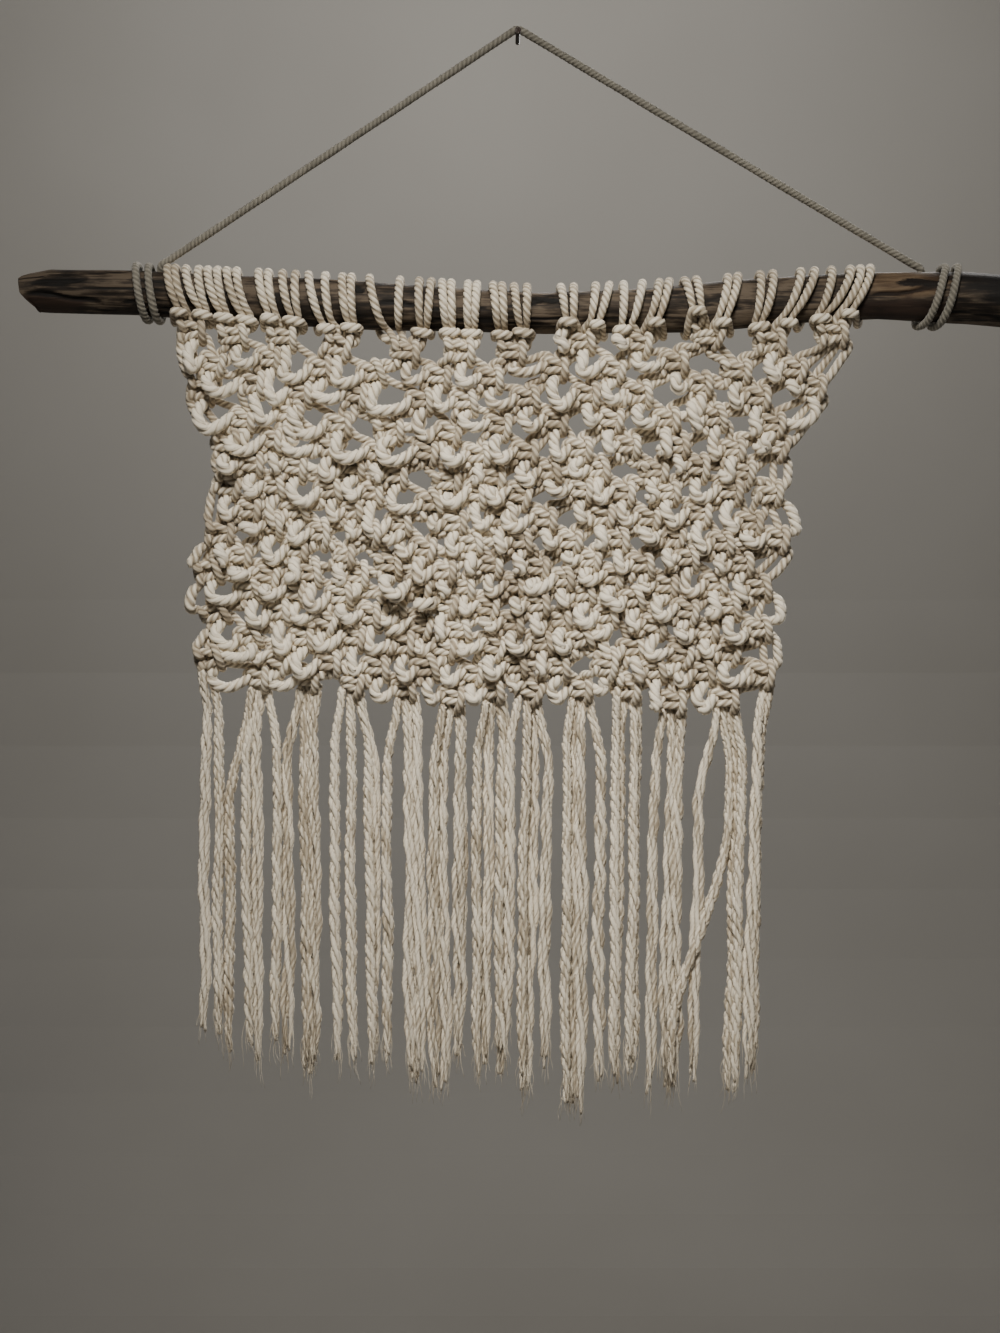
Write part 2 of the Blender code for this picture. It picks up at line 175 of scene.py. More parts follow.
# The nail and the hanger cord, as in the CAD part
NAIL_SHANK_RADIUS = 1.3
HANGER_RADIUS = 2.35
HANGER_LAY = 10.0
HANGER_GAP = 0.35
HANGER_TIGHTNESS = -0.4
HANGER_Y_ON_NAIL = -12.0
HANGER_LEFT_TURNS = (-207.6, -207.0, -212.8, -213.6, -220.0, -219.4)
HANGER_RIGHT_TURNS = (234.6, 231.7, 246.2, 240.3, 253.4, 253.8)
HANGER_TURN_ANGLES = (150.0, 250.0, 430.0, 610.0, 790.0, 870.0)
HANGER_TURN_STEP = 28.0
HANGER_CLEARANCE = 0.4
HANGER_LEAD_BACK = 8.0
HANGER_LEAD_UP = 18.0

# The fringe's bundles of strands
FRINGE_BUNDLES = np.array((  # top_x, tip_x, width, tip_z
    (-179.5, -183.0, 5.5, -586.0),
    (-170.0, -169.5, 9.0, -590.0),
    (-154.5, -152.5, 10.5, -591.0),
    (-136.0, -136.0, 10.5, -585.0),
    (-121.0, -119.5, 10.0, -599.0),
    (-101.0, -100.0, 12.0, -597.0),
    (-84.5, -83.5, 6.0, -594.0),
    (-74.5, -76.0, 6.5, -596.0),
    (-60.5, -58.5, 10.5, -609.0),
    (-46.5, -45.5, 9.0, -608.0),
    (-32.5, -34.5, 4.8, -594.0),
    (-20.0, -21.5, 11.0, -601.0),
    (-5.5, -9.5, 8.5, -598.0),
    (7.5, 3.0, 9.0, -606.0),
    (18.5, 14.0, 6.5, -598.0),
    (32.0, 32.0, 12.5, -623.0),
    (48.0, 46.0, 7.5, -610.0),
    (58.5, 56.0, 6.5, -607.0),
    (68.5, 65.0, 5.5, -601.0),
    (80.0, 75.0, 6.5, -613.0),
    (91.0, 87.0, 10.0, -608.0),
    (104.0, 101.0, 6.0, -600.0),
    (127.0, 121.0, 11.0, -618.0),
    (139.5, 133.5, 6.5, -600.0),
))
FRINGE_Y = (-23.2, -21.0)  # at its top, at its tips
FRINGE_STEP = 2.3
STRAND_SPACE = 4.2  # a strand's usual share of its bundle's width
SLANTING_STRAND = 43  # the one that hangs across its neighbours, and how far
SLANT = (-30.0, -6.0)
FRINGE_LAY = 12.0
KEPT_TWIST = 0.35  # the share of strands that stay twisted to their tips
PLY_RADIUS = (1.45, 1.82)  # at the top of the fringe, below it
PLY_OFFSET = 1.4
PLY_SIDES = 6
FRINGE_HAIRS = 5
HAIR_RADIUS = 0.34
HAIR_POINTS = 10

# How many cords or strands of fringe make up one visible piece
CORDS_A_PIECE = 4
STRANDS_A_PIECE = 12

# The cord; a lay is the length of one turn of its three plies
CORD_RADIUS = 2.6
CORD_LAY = 12.5
CORD_LAY_LOOSE = 16.0
CORD_SWELL = 0.33  # how much fatter it is where its looseness is 1
GROOVE_REACH = 0.56  # the groove between two plies, as a share of the radius
HUG_RADIUS = 2.5  # from the bark to the middle of a cord that is wrapped round it
MESH_STEP = 1.05
SMOOTH_STEPS = 8
KNOT_TIGHTNESS = -0.32
HEAD_TIGHTNESS = -0.1
KNOT_NARROWING = 0.86

# The slack: how much of it a filler has on its way to its next knot, and where it curls
SLACK_BETA = (2.4, 1.4)
SLACK_ABOVE = 1.22  # the most of it above the slacker row, and from there on down
SLACK_BELOW = 1.34
SLACKER_ROW = 7
SLACK_SHOWS = 0.3  # a filler with less runs straight to its knot
EAR_CURLS = 0.28  # the share of curls that stand out to the front, like an ear
BACK_CURLS = 0.2  # the share of right-hand fillers that curl too
HEAD_CURLS = {28: 0.8, 32: 1.0}  # strand: its slack between its lark's head and its first knot

# Settling the cords against each other: how often touching points are looked for and how far off,
# then how much of a push is shared with the points beside it, straightened out and taken back
RELAX_STEP = 2.1
RELAX_RADIUS = 2.2
RELAX_SWELL = 0.24
RELAX_ROUNDS = 110
PAIRS_EVERY = 8
PAIRS_REACH = 2.4
SAME_STRETCH = 4  # points of one cord this near in order don't push each other
CROWDING = 0.55
SHARE_ALONG = 0.3
STRAIGHTEN = 0.015
RETURN_HOME = 0.008


def column(table, key, index):
    """A column of a table, at key in its first column."""
    return np.interp(key, table[:, 0], table[:, index])


def unit(vectors):
    return vectors / np.maximum(np.linalg.norm(vectors, axis=-1, keepdims=True), 1e-9)


def rise(value, start, over):
    """0 up to start, then a straight rise to 1 over a stretch."""
    return np.clip((value - start) / over, 0.0, 1.0)


def ease_in_out(share):
    return share * share * (3.0 - 2.0 * share)


def any_angle(count=None):
    return uniform(0.0, math.tau, count)


def stick_radius(x, angle):
    """The stick's uneven radius at x, in the direction of an angle up from its front."""
    oval = STICK_OVAL * np.cos(2.0 * angle + x / 70.0)
    ridge = STICK_RIDGE * np.cos(3.0 * angle - x / 45.0)
    return column(STICK_SECTIONS, x, 2) * (1.0 + oval + ridge)


def around_stick(x, angle, distance):
    """A point beside the stick: the angle is 0 at its front and a quarter turn at its top."""
    z = column(STICK_SECTIONS, x, 1) + np.sin(angle) * distance
    return np.array((x, STICK_Y - np.cos(angle) * distance, z))


# ---- Routes of the cords ----

# One square knot of two fillers and two working strands, as points (right, up, to the viewer).
# The right strand makes both front bars; the left one makes the bump on their right.
KNOT_RIGHT_HALF = np.array((
    (6.4, 3.9, 1.4),
    (2.2, 2.5, 4.5),
    (-2.2, 2.5, 4.6),
    (-5.6, 2.2, 1.8),
))
KNOT_RIGHT = np.concatenate((
    ((8.2, 6.4, 0.3),), KNOT_RIGHT_HALF, ((-7.2, 0.0, -1.4),),
    KNOT_RIGHT_HALF[::-1] * (1.0, -1.0, 1.0), ((8.2, -6.2, 0.3),)))
KNOT_LEFT_IN = np.array(((-7.4, 6.4, 3.0), (-6.2, 3.7, 5.4)))
KNOT_LEFT_IN_SLACK = np.array(((-9.6, -1.4, 4.2), (-7.2, 0.6, 3.6)))
KNOT_LEFT_HALF = np.array((
    (-4.7, 1.7, 1.2),
    (-2.4, 1.8, -3.8),
    (2.0, 3.2, -4.4),
    (4.4, 5.6, -1.6),
    (4.2, 6.1, 2.2),
    (5.6, 3.2, 6.8),
))
KNOT_LEFT = np.concatenate((
    KNOT_LEFT_HALF, ((5.9, 0.0, 7.8),), KNOT_LEFT_HALF[::-1] * (1.0, -1.0, 1.0),
    ((-6.2, -3.7, 5.0), (-7.0, -6.4, 2.6))))
KNOT_FILLER = np.array(((0.0, 5.4, 0.0), (0.0, 1.8, 0.0), (0.0, -1.8, 0.0), (0.0, -5.4, 0.0)))
FILLER_OFFSET = 2.2
EDGE_STRANDS = (0, 47)


def net_y(z):
    """The net's middle plane, which leans a little back to the wall on its way down."""
    share = np.clip((NET_Z_TOP - z) / NET_LENGTH, 0.0, 1.0)
    return NET_Y_TOP + (NET_Y_BOTTOM - NET_Y_TOP) * share


def first_row_height(x):
    """Where the first row of knots sits, a little below the bars of the lark's heads."""
    order = np.argsort(LARKS_HEADS[:, 2])
    bars = LARKS_HEADS[order]
    return np.interp(x, bars[:, 2], bars[:, 3]) - BARS_TO_FIRST_ROW


def knot_places():
    """The middle, turn and size of each square knot, row by row."""
    pairs = LARKS_HEADS.reshape(LONG_ROW, 2, 4).mean(axis=1)
    marks = np.concatenate((LAST_EDGES[:1], LAST_ROW[:, 0], LAST_EDGES[1:]))
    rows = []
    for row in range(ROWS):
        long = row % 2 == 0
        count = LONG_ROW if long else LONG_ROW - 1
        share = (np.arange(count) + (0.5 if long else 1.0)) / LONG_ROW
        z_guess = FIRST_ROW_Z - ROW_DROPS[row]
        left, right = (np.interp(-z_guess, -PANEL_SIDES[:, 0], PANEL_SIDES[:, n]) for n in (1, 2))
        x = left + (right - left) * share
        hung = pairs[:, 2] if long else (pairs[1:, 2] + pairs[:-1, 2]) / 2.0
        ease = max(0.0, 1.0 - row / HUNG_ROWS)
        x = x * (1.0 - ease) + hung * ease
        pull = rise(row, *PULLED_ROWS)
        aim = (marks[1:] + marks[:-1]) / 2.0 if long else LAST_ROW[:, 0]
        if long:
            aim[[0, -1]] = LAST_EDGES
        x = x * (1.0 - pull) + aim * pull
        top = first_row_height(x)
        down = ROW_DROPS[row] / ROW_DROPS[-1]
        z = top + (np.interp(x, LAST_ROW[:, 0], LAST_ROW[:, 1]) - top) * down
        untidy = rise(row, *UNTIDY_ROWS) * np.interp(x, (-150.0, 60.0), (1.0, 0.5))
        spread = (KNOT_SPREAD + untidy) * (1.0 - 0.55 * pull) if row else FIRST_ROW_SPREAD
        x = x + normal(0.0, 1.0, count) * spread
        z = z + normal(0.0, 1.0, count) * spread
        y = net_y(z) + normal(0.0, KNOT_SPREAD_Y, count) * (1.0 + untidy)
        turn = np.radians(normal(0.0, 1.0, count) * (KNOT_TURN + UNTIDY_TURN * untidy))
        size = uniform(*KNOT_SIZES, count)
        rows.append(np.stack((x, y, z, turn, size), axis=1))
    return rows


def place_points(points, knot):
    """Points of a knot's own frame, turned, sized and put where the knot is, pulled tight."""
    x, y, z, turn, size = knot
    right = points[:, 0] * KNOT_NARROWING
    across = right * math.cos(turn) - points[:, 1] * math.sin(turn)
    up = right * math.sin(turn) + points[:, 1] * math.cos(turn)
    tight = np.full(len(points), KNOT_TIGHTNESS)
    return np.stack((x + across * size, y - points[:, 2], z + up * size, tight), axis=1)


def slack_curl(start, end, slack, hand):
    """The loose J of a filler: out to hand's far side, down past the next knot and in under it."""
    swing = normal(0.0, 1.0)
    ear = RANDOM.random() < EAR_CURLS
    wide, deep, out = (0.75, 0.35, 2.1) if ear else (1.0, 1.0, 1.0)  # an ear is short and stands out
    far = start[0] - hand * (1.2 + 3.0 * slack + 0.9 * swing) * wide
    low = min(end[2] - 0.8 - 3.2 * slack * deep, start[2] - 6.0)
    front = min(start[1], end[1]) + 1.2 - 3.6 * slack * out + 0.5 * swing
    loose = 0.35 + 0.65 * slack
    curl = np.array((
        (start[0] - hand * (0.6 + 1.2 * slack), start[1] - 2.2, start[2] - 2.6, loose),
        (far, front, start[2] * 0.52 + low * 0.48, loose),
        (far + hand * (1.2 + 0.4 * slack), front - 0.8, start[2] * 0.14 + low * 0.86, loose),
        (far * 0.5 + end[0] * 0.5, front - 0.6, low - 0.4, loose),
        (end[0] - hand * 2.2, front * 0.6 + end[1] * 0.4, end[2] * 0.55 + low * 0.45, loose),
    ))
    curl[1:4, :3] += normal(0.0, 0.8, (3, 3)) * slack
    return curl


def edge_bow(start, end, side, bow):
    """A cord at the net's edge that passes a row by, bowed out and forward."""
    shares = np.array((0.2, 0.5, 0.8))
    heights = start[2] + (end[2] - start[2]) * shares - 1.5 * bow * np.array((0.2, 1.0, 0.6)) * 0.5
    across = start[0] + (end[0] - start[0]) * shares + side * bow * np.array((0.75, 1.0, 0.8))
    depth = start[1] + (end[1] - start[1]) * shares - bow * np.array((0.3, 0.5, 0.4))
    return np.stack((across, depth, heights, np.full(3, min(1.0, 0.12 * bow))), axis=1)


def strand_routes(rows):
    """The route of each of the 48 strands through the net, from its first knot to its last.

    In a knot of four strands, roles 0 and 3 are the working ones, and 1 and 2 are the fillers.
    """
    routes = []
    for strand in range(4 * LONG_ROW):
        parts = []
        came_as = None
        came_row = None
        for row in range(ROWS):
            shift = 0 if row % 2 == 0 else 2
            number, role = divmod(strand - shift, 4)
            if strand < shift or number >= len(rows[row]):
                continue
            knot = rows[row][number]
            if role == 0:
                slack = 0.0
                if came_as == 2:
                    most = SLACK_ABOVE if row < SLACKER_ROW else SLACK_BELOW
                    slack = RANDOM.beta(*SLACK_BETA) * most
                elif strand in HEAD_CURLS and row == 0:
                    slack = HEAD_CURLS[strand]
                    head = LARKS_HEADS[strand // 2]
                    parts.append(np.array(((head[2] - 2.0, knot[1] - 6.0, head[3] - 3.0, 0.2),)))
                lead = KNOT_LEFT_IN_SLACK if slack > SLACK_SHOWS else KNOT_LEFT_IN
                points = place_points(np.concatenate((lead, KNOT_LEFT)), knot)
                if came_as == 2:
                    points[:2, 3] = 0.4 * slack
                if slack > SLACK_SHOWS:
                    parts.append(slack_curl(parts[-1][-1], points[0], slack, 1.0))
            elif role == 3:
                points = place_points(KNOT_RIGHT, knot)
                if came_as == 1 and row > 1 and RANDOM.random() < BACK_CURLS:
                    points = points[1:]
                    slack = uniform(0.2, 0.8)
                    parts.append(slack_curl(parts[-1][-1], points[0], slack, -1.0))
            else:
                side = -FILLER_OFFSET if role == 1 else FILLER_OFFSET
                points = place_points(KNOT_FILLER + (side, 0.0, 0.0), knot)
            if strand in EDGE_STRANDS and came_row is not None and row - came_row == 2:
                side = -1.0 if strand == 0 else 1.0
                bow = uniform(1.0, 3.0) + (uniform(0.0, 6.0) if 7 < row < 14 else 0.0)
                parts.append(edge_bow(parts[-1][-1], points[0], side, bow))
            parts.append(points)
            came_as = role
            came_row = row
        routes.append(np.concatenate(parts))
    return routes


def head_route(number):
    """The cord of one lark's head, from the left strand under the bar, round, to the right one."""
    left, right, bar_x, bar_z = LARKS_HEADS[number]
    axis_z = column(STICK_SECTIONS, bar_x, 1)
    reach = column(STICK_SECTIONS, bar_x, 2) + BAR_ANGLE_REACH
    bar_angle = math.asin(max((bar_z - axis_z) / reach, -HEAD_BAR_LIMIT))
    top = math.pi / 2.0
    apart = 1.9 + 0.1 * max(0.0, right - left - 8.0)

    def wrap(side, top_x):
        """From below the bar up the front, over the top, down the back to the bar's end."""
        points = []
        low_x = bar_x + side * apart
        for share in np.linspace(0.0, 1.0, 7):
            angle = bar_angle + (top - bar_angle) * share
            x = low_x + (top_x - low_x) * math.sin(share * top) ** 0.85
            tight = HEAD_TIGHTNESS - 0.8 * max(0.0, 1.0 - share / 0.3)
            points.append((*around_stick(x, angle, stick_radius(x, angle) + HUG_RADIUS), tight))
        end = math.tau + bar_angle - 0.1
        end_x = bar_x + side * (apart + 2.0)
        for share in np.linspace(0.0, 1.0, 10)[1:]:
            angle = top + (end - top) * share
            x = end_x + (top_x - end_x) * math.cos(share * top)
            lift = HUG_RADIUS + 3.0 * max(0.0, share - 0.75) / 0.25
            loose = HEAD_TIGHTNESS - 0.6 * max(0.0, share - 0.7) / 0.3
            points.append((*around_stick(x, angle, stick_radius(x, angle) + lift), loose))
        return np.array(points)

    out = stick_radius(bar_x, bar_angle) + BAR_REACH
    bar = np.array([(*around_stick(bar_x + dx * (apart + 1.4), bar_angle, out + dy), 0.35)
                    for dx, dy in ((-0.8, -0.1), (0.0, 0.3), (0.8, -0.1))])
    return np.concatenate((wrap(-1.0, left), bar, wrap(1.0, right)[::-1]))


def hanger_turns(places):
    """Two turns round the stick, from the leg above its back to the tail end."""
    x = places[0]
    route = [(x, STICK_Y + HANGER_LEAD_BACK, column(STICK_SECTIONS, x, 1) + HANGER_LEAD_UP)]
    stages = list(zip(places, HANGER_TURN_ANGLES))
    for (x1, start), (x2, end) in zip(stages, stages[1:]):
        steps = max(1, round(abs(end - start) / HANGER_TURN_STEP))
        for step in range(steps):
            x = x1 + (x2 - x1) * step / steps
            angle = math.radians(start + (end - start) * step / steps)
            reach = stick_radius(x, angle) + HANGER_RADIUS + HANGER_CLEARANCE
            route.append(tuple(around_stick(x, angle, reach)))
    return route


def hanger_route():
    """Left turns, left leg, over the nail, right leg, right turns."""
    reach = NAIL_SHANK_RADIUS + HANGER_RADIUS + HANGER_GAP
    saddle = [(math.cos(a) * reach, HANGER_Y_ON_NAIL, math.sin(a) * reach)
              for a in np.radians((120.0, 105.0, 90.0, 75.0, 60.0))]
    left = hanger_turns(HANGER_LEFT_TURNS)[::-1]
    right = hanger_turns(HANGER_RIGHT_TURNS)
    shares = np.array((0.03, 0.3, 0.6, 0.9, 0.98))[:, None]
    up = np.array(left[-1]) + (np.array(saddle[0]) - left[-1]) * (1.0 - shares[::-1])
    down = np.array(saddle[-1]) + (np.array(right[0]) - saddle[-1]) * shares
    route = left + list(up) + saddle + list(down) + right
    return np.column_stack((np.array(route), np.full(len(route), HANGER_TIGHTNESS)))


def blend(t, t0, start, t1, end):
    return (t1 - t) / (t1 - t0) * start + (t - t0) / (t1 - t0) * end


def smooth_route(points, step):
    """A smooth curve through the points, as points a step apart. A fourth column rides along."""
    ends = np.concatenate((points[:1] * 2.0 - points[1:2], points, points[-1:] * 2.0 - points[-2:-1]))
    gaps = np.sqrt(np.maximum(np.linalg.norm(np.diff(ends[:, :3], axis=0), axis=1), 1e-3))
    pieces = []
    for n in range(1, len(ends) - 2):
        p0, p1, p2, p3 = ends[n - 1:n + 3]
        t0, t1, t2, t3 = np.concatenate(((0.0,), np.cumsum(gaps[n - 1:n + 2])))
        t = np.linspace(t1, t2, SMOOTH_STEPS + 1)[:-1, None]
        a1 = blend(t, t0, p0, t1, p1)
        a2 = blend(t, t1, p1, t2, p2)
        a3 = blend(t, t2, p2, t3, p3)
        b1 = blend(t, t0, a1, t2, a2)
        b2 = blend(t, t1, a2, t3, a3)
        pieces.append(blend(t, t1, b1, t2, b2))
    return resample(np.concatenate(pieces + [points[-1:]]), step)


def lengths_along(points):
    steps = np.linalg.norm(np.diff(points[:, :3], axis=0), axis=1)
    return np.concatenate(((0.0,), np.cumsum(steps)))


def resample(points, step):
    """The same polyline with its points evenly about a step apart."""
    along = lengths_along(points)
    count = max(4, int(round(along[-1] / step)) + 1)
    spots = np.linspace(0.0, along[-1], count)
    return np.stack([np.interp(spots, along, values) for values in points.T], axis=1)


def close_pairs(points, owner, order, reach):
    """Pairs of points of different stretches of cord that are nearer than reach."""
    tree = kdtree.KDTree(len(points))
    for n, point in enumerate(points):
        tree.insert(point, n)
    tree.balance()
    first, second = np.array([(n, other) for n, point in enumerate(points)
                              for _, other, _ in tree.find_range(point, reach) if other > n]).T
    apart = (owner[first] != owner[second]) | (np.abs(order[first] - order[second]) > SAME_STRETCH)
    return first[apart], second[apart]


def off_the_stick(points):
    """Points that are inside the stick's bark are moved out to a cord's radius from it."""
    axis_z = column(STICK_SECTIONS, points[:, 0], 1)
    dy = points[:, 1] - STICK_Y
    dz = points[:, 2] - axis_z
    away = np.hypot(dy, dz)
    least = stick_radius(points[:, 0], np.arctan2(dz, -dy)) + CORD_RADIUS * 0.96
    grow = np.where(away < least, least / np.maximum(away, 1e-6), 1.0)
    points[:, 1] = STICK_Y + dy * grow
    points[:, 2] = axis_z + dz * grow


def relax(cords, rounds):
    """Settle cords against each other: overlaps are pushed apart and the push is shared along."""
    sizes = [len(cord) for cord in cords]
    starts = np.concatenate(((0,), np.cumsum(sizes)))
    loose = np.concatenate(cords)[:, 3]
    points = np.concatenate(cords)[:, :3].copy()
    home = points.copy()
    radius = RELAX_RADIUS * (1.0 + RELAX_SWELL * loose)
    owner = np.repeat(np.arange(len(cords)), sizes)
    order = np.arange(len(points)) - starts[owner]
    joined = np.nonzero(owner[1:] == owner[:-1])[0]
    middle = joined[:-1][np.diff(joined) == 1] + 1
    for turn in range(rounds):
        if turn % PAIRS_EVERY == 0:
            first, second = close_pairs(points, owner, order, 2.0 * RELAX_RADIUS + PAIRS_REACH)
            least = radius[first] + radius[second]
        gap = points[first] - points[second]
        distance = np.maximum(np.linalg.norm(gap, axis=1), 1e-6)
        push = np.maximum(0.0, least - distance) * 0.5 / distance
        move = gap * push[:, None]
        shift = np.zeros_like(points)
        weight = np.zeros(len(points))
        touching = push > 0.0
        for side, sign in ((first, 1.0), (second, -1.0)):
            np.add.at(shift, side[touching], sign * move[touching])
            np.add.at(weight, side[touching], 1.0)
        points += shift / np.maximum(1.0, weight[:, None] * CROWDING)
        moved = points - home
        shared = (moved[middle - 1] + moved[middle + 1]) * 0.5 - moved[middle]
        straight = (points[middle - 1] + points[middle + 1]) * 0.5 - points[middle]
        points[middle] += shared * SHARE_ALONG + straight * STRAIGHTEN
        points += (home - points) * RETURN_HOME
        off_the_stick(points)
        points[:, 1] = np.minimum(points[:, 1], -HUG_RADIUS)
    settled = np.column_stack((points, loose))
    return [settled[a:b] for a, b in zip(starts[:-1], starts[1:])]


# ---- Meshes ----

def frames_along(points):
    """The direction and two square ones at each point, turning as little as they can."""
    along = unit(np.gradient(points, axis=0))
    side = np.zeros_like(points)
    start = np.cross(along[0], (0.0, 1.0, 0.0))
    if np.linalg.norm(start) < 0.1:
        start = np.cross(along[0], (1.0, 0.0, 0.0))
    side[0] = unit(start)
    for n in range(1, len(points)):
        carried = side[n - 1] - along[n] * np.dot(side[n - 1], along[n])
        side[n] = carried / max(np.linalg.norm(carried), 1e-9)
    return along, side, np.cross(along, side)


def cord_section(loose):
    """A three-ply cord's outline: each ply's two shoulders, then a groove, shallower where tight."""
    ply = np.arange(3)[:, None] * 120.0
    angles = np.radians((ply + (-31.0, 31.0, 60.0)).ravel())
    groove = GROOVE_REACH + 0.5 * np.clip(-loose, 0.0, 1.0)
    shares = np.ones((len(loose), len(angles)))
    shares[:, 2::3] = groove[:, None]
    return angles, shares


def round_section(sides):
    return np.arange(sides) * math.tau / sides, np.ones(sides)


class Tubes:
    """Collects tubes, then makes them one mesh with a length-and-round UV map and a number for its
    colour: random tone, with painted shade and light where the cords set it.
    """

    def __init__(self):
        self.verts, self.quads, self.caps, self.uvs, self.tones_and_shades = [], [], [], [], []
        self.count = 0

    def add(self, points, radius, section, turn, tone_and_shade):
        """A tube along points: section is (angles, shares), turn its twist at each point."""
        angles, shares = section
        sides = len(angles)
        rings = len(points)
        points = points[:, :3]
        _, side, up = frames_along(points)
        spin = angles[None, :] + np.broadcast_to(turn, rings)[:, None]
        reach = np.broadcast_to(radius, rings)[:, None] * shares
        verts = (points[:, None, :] + side[:, None, :] * (np.cos(spin) * reach)[..., None]
                 + up[:, None, :] * (np.sin(spin) * reach)[..., None])
        ring = np.arange(rings - 1)[:, None] * sides
        here = np.arange(sides)[None, :]
        after = (here + 1) % sides
        quads = np.stack((ring + here, ring + after, ring + sides + after, ring + sides + here), -1)
        along = lengths_along(points)
        shape = (rings - 1, sides)
        u = np.broadcast_to(along[:-1, None], shape)
        u_next = np.broadcast_to(along[1:, None], shape)
        v = np.broadcast_to(angles[None, :] / math.tau, shape)
        v_next = np.broadcast_to(np.append(angles[1:], angles[0] + math.tau)[None, :] / math.tau, shape)
        uv = np.stack((u, v, u, v_next, u_next, v_next, u_next, v), -1)
        self.verts.append(verts.reshape(-1, 3))
        self.quads.append(quads.reshape(-1, 4) + self.count)
        self.uvs.append(uv.reshape(-1, 2))
        self.caps.append(self.count + np.arange(sides)[::-1])
        self.caps.append(self.count + (rings - 1) * sides + np.arange(sides))
        self.tones_and_shades.append(np.repeat(np.broadcast_to(tone_and_shade, rings), sides))
        self.count += rings * sides

    def build(self, name, material):
        """One smooth mesh object, in metres, that rides on the root body."""
        quads = np.concatenate(self.quads)
        cap_sizes = np.array([len(cap) for cap in self.caps])
        loops = np.concatenate([quads.ravel()] + self.caps)
        sizes = np.concatenate((np.full(len(quads), 4), cap_sizes))
        uvs = np.concatenate(self.uvs + [np.zeros((cap_sizes.sum(), 2))])
        thing = mesh_object(name, np.concatenate(self.verts), loops, sizes, material)
        layer = thing.data.uv_layers.new(name="along")
        layer.data.foreach_set("uv", (uvs * (0.1, 1.0)).ravel().astype(np.float32))
        add_attribute(thing, "tone_and_shade", np.concatenate(self.tones_and_shades))
        return thing


def add_object(name, data):
    thing = bpy.data.objects.new(name, data)
    bpy.context.scene.collection.objects.link(thing)
    return thing


def add_attribute(thing, name, values):
    """A number at each of a mesh's points, for its material to read."""
    attribute = thing.data.attributes.new(name, "FLOAT", "POINT")
    attribute.data.foreach_set("value", np.asarray(values, np.float32))


def mesh_object(name, verts, loops, sizes, material):
    """A smooth mesh object, from millimetres, that rides on the root body."""
    starts = np.concatenate(((0,), np.cumsum(sizes)[:-1]))
    mesh = bpy.data.meshes.new(name)
    mesh.vertices.add(len(verts))
    mesh.vertices.foreach_set("co", (verts * MM).ravel().astype(np.float32))
    mesh.loops.add(len(loops))
    mesh.loops.foreach_set("vertex_index", loops.astype(np.int32))
    mesh.polygons.add(len(sizes))
    mesh.polygons.foreach_set("loop_start", starts.astype(np.int32))
    mesh.update(calc_edges=True)
    mesh.polygons.foreach_set("use_smooth", np.ones(len(sizes), bool))
    mesh.materials.append(material)
    thing = add_object(name, mesh)
    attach(thing, "root")
    return thing


def add_cord(tubes, points, radius=CORD_RADIUS, lay=CORD_LAY):
    """A three-ply cord: its section turns once in each lay, down to the right across its front."""
    fine = resample(points, MESH_STEP)
    along = lengths_along(fine)
    loose = fine[:, 3]
    local_lay = lay + (CORD_LAY_LOOSE - CORD_LAY) * loose
    local_lay = local_lay * (1.0 + 0.1 * np.sin(along / 23.0 + any_angle()))
    turn = any_angle() - np.cumsum(math.tau * MESH_STEP / local_lay)
    swell = 1.0 + CORD_SWELL * loose + 0.025 * np.sin(along / 7.0 + any_angle())
    ends = np.minimum(1.0, 0.5 + 0.12 * np.minimum(along, along[-1] - along))
    # Random tone for each cord, plus painted shade and light: darker where it is pulled tight in the
    # knots, which lie deeper, and lighter where it is slack in the curls that stand out to the front.
    tone_and_shade = uniform(0.0, 0.4) + 0.6 * np.clip(0.45 + 0.55 * loose, 0.0, 1.0)
    tubes.add(fine, radius * swell * ends, cord_section(loose), turn, tone_and_shade)


# ---- Materials ----

COTTONS = {  # light, middle, dark
    "cotton": ((0.88, 0.80, 0.655), (0.47, 0.395, 0.29), (0.17, 0.13, 0.085)),
    "fringe_cotton": ((0.84, 0.76, 0.62), (0.46, 0.385, 0.28), (0.24, 0.19, 0.13)),
    "hanger_cotton": ((0.30, 0.28, 0.235), (0.21, 0.195, 0.16), (0.11, 0.10, 0.08)),
}
WOOD = ((0.60, (0.003, 0.002, 0.0012)), (0.77, (0.012, 0.008, 0.005)),
        (0.86, (0.038, 0.027, 0.018)), (0.95, (0.105, 0.080, 0.056)))
TAN_WOOD = ((0.55, (0.014, 0.007, 0.003)), (0.76, (0.062, 0.037, 0.020)), (0.95, (0.14, 0.097, 0.058)))
RED_WOOD = ((0.55, (0.006, 0.0035, 0.0025)), (0.88, (0.034, 0.020, 0.0135)))
DARK_WOOD = ((0.5, (0.003, 0.0025, 0.0025)), (0.95, (0.013, 0.011, 0.010)))
WOOD_PATCHES = (  # centre, size, colours
    ((222.0, -34.0, -145.0), (34.0, 16.0, 15.0), TAN_WOOD),
    ((222.0, -32.0, -163.0), (40.0, 14.0, 9.0), RED_WOOD),
    ((-276.0, -28.0, -160.0), (34.0, 16.0, 9.0), RED_WOOD),
    ((288.0, -26.0, -150.0), (44.0, 22.0, 15.0), DARK_WOOD),
    ((312.0, -30.0, -164.0), (40.0, 20.0, 8.0), RED_WOOD),
)
DARK_SPOTS = (  # centre, size
    ((227.0, -32.0, -146.6), (13.0, 9.0, 3.6)),
    ((237.0, -32.0, -147.6), (10.0, 9.0, 3.0)),
)
SPOT_COLOUR = (0.006, 0.003, 0.0015)


